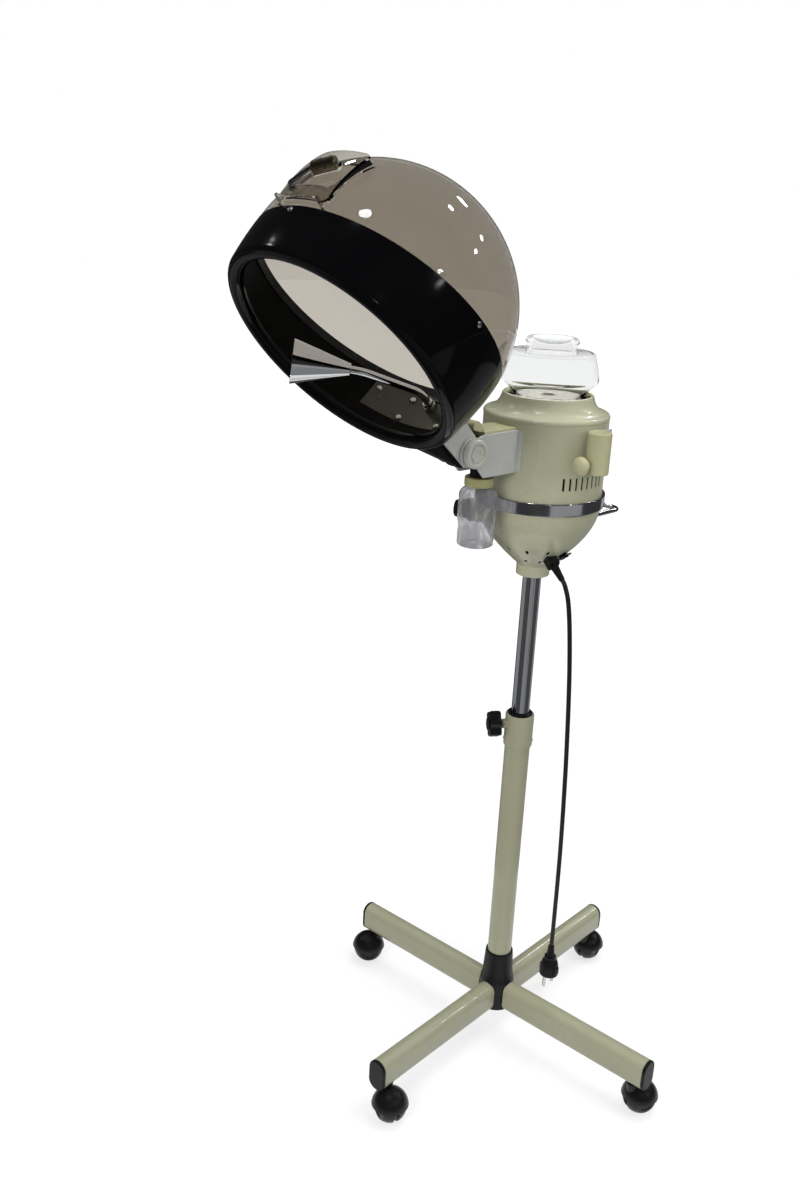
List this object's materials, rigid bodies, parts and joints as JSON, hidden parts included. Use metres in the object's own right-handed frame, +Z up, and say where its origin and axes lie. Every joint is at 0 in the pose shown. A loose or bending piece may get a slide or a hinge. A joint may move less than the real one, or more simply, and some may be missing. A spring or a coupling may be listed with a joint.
{
  "type": "hair steamer",
  "caption": "Salon hair steamer: smoked dome hood with a steam nozzle, tilting on a boiler unit with a glass jar, on a height-adjustable mast over a rolling cross base.",
  "frame": {"origin": "on the floor under the mast axis", "axes": "+Z up, the hood points along -Y, +X to the right seen from the lifting handle towards the hood"},
  "size_m": [0.5974, 0.7908, 1.354],
  "materials": {
    "cream_paint": "satin cream baked enamel",
    "grey_paint": "satin warm grey enamel",
    "olive_steel": "dark olive brown painted sheet",
    "cream_plastic": "glossy cream moulding",
    "grey_plastic": "semi-gloss warm grey moulding",
    "black_plastic": "matte black moulding",
    "dark_plastic": "dark grey ring",
    "black_gloss": "deep gloss black",
    "brown_plastic": "brown moulded resin",
    "smoked_dome": "clear smoked brown acrylic, polished",
    "clear_plastic": "clear thin drain bottle",
    "clear_glass": "clear pressed glass",
    "chrome": "mirror chrome plate",
    "zinc_steel": "bright zinc plated fixings",
    "dark_steel": "blackened screws",
    "boiler_steel": "drawn stainless steel",
    "heater_steel": "heat-tinted sheath",
    "brass_knurl": "knurled grip, dull brass",
    "caster_rubber": "black hard rubber treads",
    "black_rubber": "black flexible sheath",
    "pale_rubber": "pale silicone gasket"
  },
  "bodies": {
    "stand": {"hub": "black_plastic", "leg_right": "cream_paint", "leg_back": "cream_paint", "leg_left": "cream_paint", "leg_front": "cream_paint", "leg_caps": "black_plastic", "outer_tube": "cream_paint", "collar": "cream_paint", "collar_bush": "black_plastic", "stand_screws": "zinc_steel"},
    "clamp_screw": {"star_knob": "black_plastic"},
    "mast": {"chrome_mast": "chrome", "mast_foot": "black_plastic"},
    "head": {"bowl": "cream_paint", "chrome_band": "chrome", "casing": "cream_paint", "boiler": "boiler_steel", "heater": "heater_steel", "boiler_gasket": "pale_rubber", "boiler_screws": "dark_steel", "u_handle": "chrome", "regulator_body": "brown_plastic", "switch_frame": "black_gloss", "strain_relief": "black_plastic", "power_cord": "black_rubber", "plug": "black_plastic", "socket_plate": "grey_paint", "accessory_socket": "cream_plastic", "arm_bracket": "grey_paint", "arm_cover": "cream_plastic", "steam_duct": "black_plastic", "pivot_bolt": "zinc_steel", "bottle_cap": "cream_plastic"},
    "jar": {"jar": "clear_glass"},
    "regulator": {"regulator_knob": "black_gloss"},
    "rocker": {"rocker": "black_gloss"},
    "socket_clamp": {"socket_knob": "cream_plastic"},
    "tilt_knob": {"pivot_knob": "grey_plastic"},
    "bottle": {"bottle": "clear_plastic"},
    "hood": {"hood_bracket": "grey_paint", "hood_duct": "black_plastic", "band": "black_gloss", "dome": "smoked_dome", "inner_ring": "dark_plastic", "rim_rivets": "zinc_steel", "back_plate": "olive_steel", "plate_screws": "zinc_steel"},
    "flap": {"flap": "smoked_dome", "flap_rod": "chrome"},
    "flap_grip": {"flap_knob": "brass_knurl"},
    "nozzle": {"steam_pipe": "chrome", "nozzle": "chrome"},
    "caster_right": {"caster_right": "black_plastic"},
    "wheels_right": {"wheels_right": "caster_rubber"},
    "caster_back": {"caster_back": "black_plastic"},
    "wheels_back": {"wheels_back": "caster_rubber"},
    "caster_left": {"caster_left": "black_plastic"},
    "wheels_left": {"wheels_left": "caster_rubber"},
    "caster_front": {"caster_front": "black_plastic"},
    "wheels_front": {"wheels_front": "caster_rubber"}
  },
  "joints": [
    {"name": "swivel_right", "type": "hinge", "parent": "stand", "child": "caster_right", "pos_m": [0.26319, 0.02071, 0.07], "axis": [0, 0, 1], "continuous": true},
    {"name": "roll_right", "type": "hinge", "parent": "caster_right", "child": "wheels_right", "pos_m": [0.26844, 0.03476, 0.025], "axis": [-0.9367, 0.3502, 0], "continuous": true},
    {"name": "swivel_back", "type": "hinge", "parent": "stand", "child": "caster_back", "pos_m": [-0.02071, 0.26319, 0.07], "axis": [0, 0, 1], "continuous": true},
    {"name": "roll_back", "type": "hinge", "parent": "caster_back", "child": "wheels_back", "pos_m": [-0.02241, 0.27809, 0.025], "axis": [-0.9936, -0.1132, 0], "continuous": true},
    {"name": "swivel_left", "type": "hinge", "parent": "stand", "child": "caster_left", "pos_m": [-0.26319, -0.02071, 0.07], "axis": [0, 0, 1], "continuous": true},
    {"name": "roll_left", "type": "hinge", "parent": "caster_left", "child": "wheels_left", "pos_m": [-0.27293, -0.03212, 0.025], "axis": [0.7604, -0.6494, 0], "continuous": true},
    {"name": "swivel_front", "type": "hinge", "parent": "stand", "child": "caster_front", "pos_m": [0.02071, -0.26319, 0.07], "axis": [0, 0, 1], "continuous": true},
    {"name": "roll_front", "type": "hinge", "parent": "caster_front", "child": "wheels_front", "pos_m": [0.0351, -0.26745, 0.025], "axis": [0.284, 0.9588, 0], "continuous": true},
    {"name": "clamp_turn", "type": "hinge", "parent": "stand", "child": "clamp_screw", "pos_m": [-0.02294, -0.03277, 0.559], "axis": [-0.5736, -0.8192, 0], "continuous": true},
    {"name": "mast_slide", "type": "slide", "parent": "stand", "child": "mast", "axis": [0, 0, 1], "range_m": [0, 0.28]},
    {"name": "head_swivel", "type": "hinge", "parent": "mast", "child": "head", "pos_m": [0, 0, 0.816], "axis": [0, 0, 1], "continuous": true},
    {"name": "jar_lift", "type": "slide", "parent": "head", "child": "jar", "axis": [0, 0, 1], "range_m": [0, 0.06]},
    {"name": "regulator_turn", "type": "hinge", "parent": "head", "child": "regulator", "pos_m": [-0.0866, -0.05, 0.88], "axis": [-0.866, -0.5, 0], "range_deg": [0, 270]},
    {"name": "rocker_tip", "type": "hinge", "parent": "head", "child": "rocker", "pos_m": [0.04993, 0.00262, 0.8366], "axis": [-0.0523, 0.9986, 0], "range_deg": [-16, 0]},
    {"name": "socket_clamp_turn", "type": "hinge", "parent": "head", "child": "socket_clamp", "pos_m": [0.10107, -0.04248, 0.98], "axis": [-0.1392, -0.9903, 0], "continuous": true},
    {"name": "tilt_knob_turn", "type": "hinge", "parent": "head", "child": "tilt_knob", "pos_m": [0.028, -0.171, 0.998], "axis": [1, 0, 0], "continuous": true},
    {"name": "bottle_unscrew", "type": "hinge", "parent": "head", "child": "bottle", "pos_m": [0, -0.128, 0.948], "axis": [0, 0, 1], "continuous": true},
    {"name": "hood_tilt", "type": "hinge", "parent": "head", "child": "hood", "pos_m": [0, -0.171, 0.998], "axis": [1, 0, 0], "range_deg": [-15, 45]},
    {"name": "flap_hinge", "type": "hinge", "parent": "hood", "child": "flap", "pos_m": [0, -0.446, 1.3028], "axis": [1, 0, 0], "range_deg": [-6, 30]},
    {"name": "flap_grip_turn", "type": "hinge", "parent": "flap", "child": "flap_grip", "pos_m": [0.0095, -0.41756, 1.33452], "axis": [0.8599, 0.4411, 0.2568], "continuous": true},
    {"name": "nozzle_swivel", "type": "hinge", "parent": "hood", "child": "nozzle", "pos_m": [0, -0.23213, 1.06408], "axis": [0, 0.6626, -0.749], "range_deg": [-45, 45]}
  ]
}
